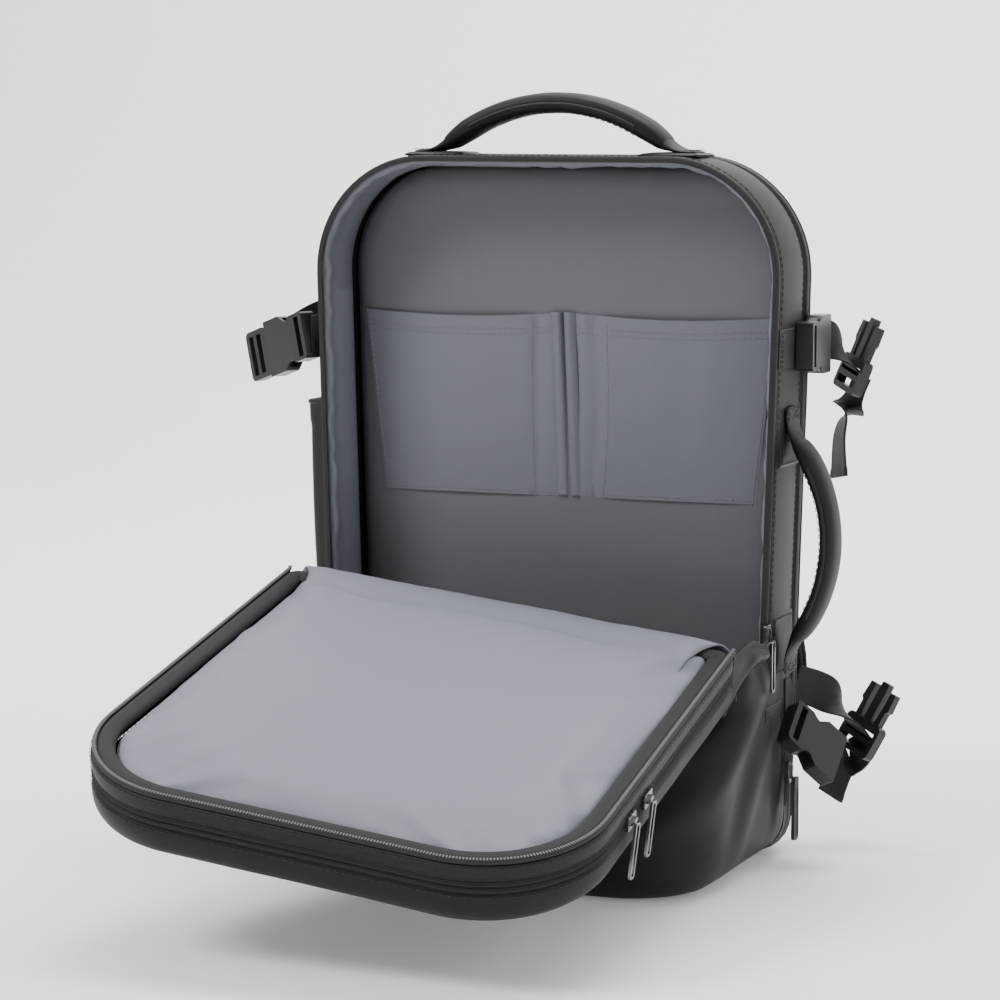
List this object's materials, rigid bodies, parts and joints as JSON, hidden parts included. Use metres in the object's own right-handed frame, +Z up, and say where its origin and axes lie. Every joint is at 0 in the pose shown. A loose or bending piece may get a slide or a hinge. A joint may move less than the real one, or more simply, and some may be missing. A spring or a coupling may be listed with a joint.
{
  "type": "travel backpack",
  "caption": "Clamshell travel backpack, its front cover unzipped and folded down over a lower tub, with carry handles, compression straps and padded shoulder straps.",
  "frame": {"origin": "on the base's flat face, midway between the sides and under the plane of the main zip", "axes": "+Z up, +X to the viewer's right when facing the front, +Y towards the wearer's back"},
  "size_m": [0.4455, 0.5037, 0.5021],
  "materials": {
    "shell": "matte olive-black coated fabric",
    "lining": "grey satin lining",
    "stiffener": "board",
    "zip_tape": "woven zip tape with coil",
    "knit_binding": "knit binding",
    "mesh_padding": "spacer mesh over foam",
    "webbing": "ribbed polyester webbing",
    "buckle": "moulded plastic",
    "zip_metal": "gunmetal",
    "rubber_pull": "moulded rubber"
  },
  "bodies": {
    "pack": {"base_tub": "shell", "base_board": "stiffener", "main_gusset": "shell", "main_lining": "lining", "main_zip_tape": "zip_tape", "divider_panel": "lining", "slip_pocket_right": "lining", "slip_pocket_left": "lining", "rear_gusset": "shell", "rear_zip_tape": "zip_tape", "back_panel": "shell", "laptop_sleeve": "lining", "back_pad_right": "mesh_padding", "back_pad_left": "mesh_padding", "luggage_band": "webbing", "front_webbing_right": "webbing", "socket_buckles_left": "buckle", "plug_buckles_left": "buckle", "rear_webbing_left": "webbing", "front_webbing_left": "webbing", "side_pocket": "shell", "side_zip_tape": "zip_tape", "top_handle_tabs": "shell", "side_handle_tabs": "shell", "shoulder_strap_anchors": "shell", "corner_tabs": "shell"},
    "cover": {"cover_zip_tape": "zip_tape", "cover_gusset": "shell", "pocket_zip_tape": "zip_tape", "cover_binding": "knit_binding", "cover_pad": "lining", "cover_board": "stiffener", "pocket_panel": "shell"},
    "top_handle": {"top_handle": "shell"},
    "side_handle": {"side_handle": "shell"},
    "main_slider_right": {"main_slider_right": "zip_metal"},
    "main_pull_right": {"main_pull_right": "zip_metal"},
    "main_slider_left": {"main_slider_left": "zip_metal"},
    "main_pull_left": {"main_pull_left": "zip_metal"},
    "pocket_slider_1": {"pocket_slider_1": "zip_metal"},
    "pocket_pull_1": {"pocket_pull_1": "zip_metal"},
    "pocket_slider_2": {"pocket_slider_2": "zip_metal"},
    "pocket_pull_2": {"pocket_pull_2": "zip_metal"},
    "rear_slider": {"rear_slider": "zip_metal"},
    "rear_pull": {"rear_pull": "zip_metal"},
    "side_slider": {"side_slider": "zip_metal"},
    "side_pull": {"side_pull": "rubber_pull"},
    "socket_upper_right": {"socket_buckle_upper_right": "buckle"},
    "socket_lower_right": {"socket_buckle_lower_right": "buckle"},
    "rear_strap_upper_right": {"plug_buckle_upper_right": "buckle", "rear_webbing_upper_right": "webbing"},
    "rear_strap_lower_right": {"plug_buckle_lower_right": "buckle", "rear_webbing_lower_right": "webbing"},
    "shoulder_strap_right": {"shoulder_strap_right": "mesh_padding", "strap_adjuster_right": "buckle"},
    "lower_strap_right": {"shoulder_webbing_right": "webbing"},
    "shoulder_strap_left": {"shoulder_strap_left": "mesh_padding", "strap_adjuster_left": "buckle"},
    "lower_strap_left": {"shoulder_webbing_left": "webbing"}
  },
  "joints": [
    {"name": "cover_fold", "type": "hinge", "parent": "pack", "child": "cover", "pos_m": [0, -0.044, 0.138], "axis": [-0.9971, -0.046, 0.061], "range_deg": [0, 106.05]},
    {"name": "top_handle_flop", "type": "hinge", "parent": "pack", "child": "top_handle", "pos_m": [0, 0.03, 0.4681], "axis": [1, 0, 0], "range_deg": [-50, 50], "stiffness_Nm_per_rad": 0.06},
    {"name": "side_handle_flop", "type": "hinge", "parent": "pack", "child": "side_handle", "pos_m": [0.16666, 0.03, 0.214], "axis": [0, 0, 1], "range_deg": [-50, 50], "stiffness_Nm_per_rad": 0.04},
    {"name": "main_zip_right", "type": "slide", "parent": "pack", "child": "main_slider_right", "axis": [0.0282, 0, 0.9996], "range_m": [0, 0.12]},
    {"name": "main_pull_swing_right", "type": "hinge", "parent": "main_slider_right", "child": "main_pull_right", "pos_m": [0.15991, 0, 0.153], "axis": [0, -1, 0], "range_deg": [0, 150]},
    {"name": "main_zip_left", "type": "slide", "parent": "pack", "child": "main_slider_left", "axis": [-0.0282, 0, 0.9996], "range_m": [0, 0.12]},
    {"name": "main_pull_swing_left", "type": "hinge", "parent": "main_slider_left", "child": "main_pull_left", "pos_m": [-0.15991, 0, 0.153], "axis": [0, 1, 0], "range_deg": [0, 150]},
    {"name": "pocket_zip_1", "type": "slide", "parent": "cover", "child": "pocket_slider_1", "axis": [0.0053, 0.9614, 0.275], "range_m": [0, 0.16]},
    {"name": "pocket_pull_swing_1", "type": "hinge", "parent": "pocket_slider_1", "child": "pocket_pull_1", "pos_m": [0.15985, -0.22801, 0.09253], "axis": [0.9925, 0, -0.1219], "range_deg": [-12, 70]},
    {"name": "pocket_zip_2", "type": "slide", "parent": "cover", "child": "pocket_slider_2", "axis": [0.0053, 0.9614, 0.275], "range_m": [0, 0.012]},
    {"name": "pocket_pull_swing_2", "type": "hinge", "parent": "pocket_slider_2", "child": "pocket_pull_2", "pos_m": [0.1597, -0.25494, 0.08483], "axis": [0.9925, 0, -0.1219], "range_deg": [-70, 12]},
    {"name": "rear_zip", "type": "slide", "parent": "pack", "child": "rear_slider", "axis": [-0.0282, 0, 0.9996], "range_m": [0, 0.16]},
    {"name": "rear_pull_swing", "type": "hinge", "parent": "rear_slider", "child": "rear_pull", "pos_m": [-0.15929, 0.0593, 0.131], "axis": [0, 1, 0], "range_deg": [0, 150]},
    {"name": "side_zip", "type": "slide", "parent": "pack", "child": "side_slider", "axis": [0, 0, 1], "range_m": [0, 0.02]},
    {"name": "side_pull_swing", "type": "hinge", "parent": "side_slider", "child": "side_pull", "pos_m": [0.16059, 0.049, 0.055], "axis": [0, -1, 0], "range_deg": [0, 60]},
    {"name": "socket_swing_upper", "type": "hinge", "parent": "pack", "child": "socket_upper_right", "pos_m": [0.1683, 0.0368, 0.339], "axis": [0, 0, -1], "range_deg": [0, 110]},
    {"name": "socket_swing_lower", "type": "hinge", "parent": "pack", "child": "socket_lower_right", "pos_m": [0.16198, 0.03205, 0.09467], "axis": [-0.0301, -0.7926, -0.609], "range_deg": [0, 40]},
    {"name": "rear_strap_swing_upper", "type": "hinge", "parent": "pack", "child": "rear_strap_upper_right", "pos_m": [0.15546, 0.08574, 0.344], "axis": [0, 0, -1], "range_deg": [-10, 60]},
    {"name": "rear_strap_swing_lower", "type": "hinge", "parent": "pack", "child": "rear_strap_lower_right", "pos_m": [0.14888, 0.08574, 0.111], "axis": [0, 0, -1], "range_deg": [-10, 40]},
    {"name": "shoulder_strap_lift_right", "type": "hinge", "parent": "pack", "child": "shoulder_strap_right", "pos_m": [0.058, 0.1142, 0.424], "axis": [1, 0, 0], "range_deg": [0, 16]},
    {"name": "lower_strap_lift_right", "type": "hinge", "parent": "pack", "child": "lower_strap_right", "pos_m": [0.117, 0.1142, 0.04], "axis": [-1, 0, 0], "range_deg": [0, 50]},
    {"name": "shoulder_strap_lift_left", "type": "hinge", "parent": "pack", "child": "shoulder_strap_left", "pos_m": [-0.058, 0.1142, 0.424], "axis": [1, 0, 0], "range_deg": [0, 16]},
    {"name": "lower_strap_lift_left", "type": "hinge", "parent": "pack", "child": "lower_strap_left", "pos_m": [-0.117, 0.1142, 0.04], "axis": [-1, 0, 0], "range_deg": [0, 50]}
  ],
  "couplings": [
    {"joint": "lower_strap_lift_right", "follows": "shoulder_strap_lift_right", "ratio": 3},
    {"joint": "lower_strap_lift_left", "follows": "shoulder_strap_lift_left", "ratio": 3}
  ]
}
